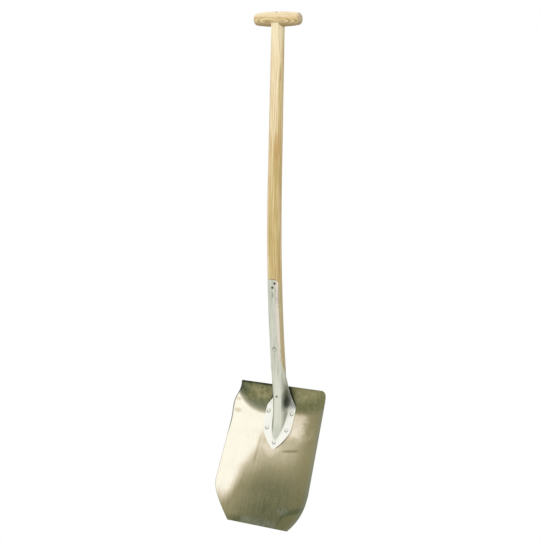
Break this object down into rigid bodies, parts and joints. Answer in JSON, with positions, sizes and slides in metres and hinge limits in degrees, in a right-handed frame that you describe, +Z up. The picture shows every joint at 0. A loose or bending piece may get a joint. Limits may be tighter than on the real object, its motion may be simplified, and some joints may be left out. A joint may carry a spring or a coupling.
{
  "type": "construction shovel",
  "caption": "Construction shovel: dished steel blade with a bent-over back wall, riveted front and back straps, bent ash shaft and T grip.",
  "frame": {"origin": "middle of the grip bar's underside, on the shaft's centre line, where the shovel hangs", "axes": "+Z up along the shaft, +X along the grip bar to the right as seen from the blade's hollow side, +Y towards the back; the blade's hollow side faces -Y"},
  "size_m": [0.2816, 0.1469, 1.3291],
  "materials": {
    "ash": "sanded pale ash, waxed, with straight grain",
    "hardwood": "darker hardwood, end grain dressed flush",
    "blade_steel": "polished and lightly brushed along the blade, clear lacquered",
    "strap_steel": "dull pressed steel, matte and slightly mottled",
    "rivet_steel": "plain steel, domed heads"
  },
  "bodies": {
    "root": {"grip": "ash", "shaft": "ash", "grip_wedge": "hardwood", "blade": "blade_steel", "front_strap": "strap_steel", "back_strap": "strap_steel", "flange_rivet_upper_left": "rivet_steel", "flange_rivet_upper_right": "rivet_steel", "flange_rivet_lower_left": "rivet_steel", "flange_rivet_lower_right": "rivet_steel", "flange_rivet_tip": "rivet_steel", "strap_rivet": "rivet_steel", "socket_nail": "rivet_steel", "front_nail_upper": "rivet_steel", "front_nail_lower": "rivet_steel", "back_nail_upper": "rivet_steel", "back_nail_lower": "rivet_steel", "grip_nail": "rivet_steel"}
  },
  "joints": []
}
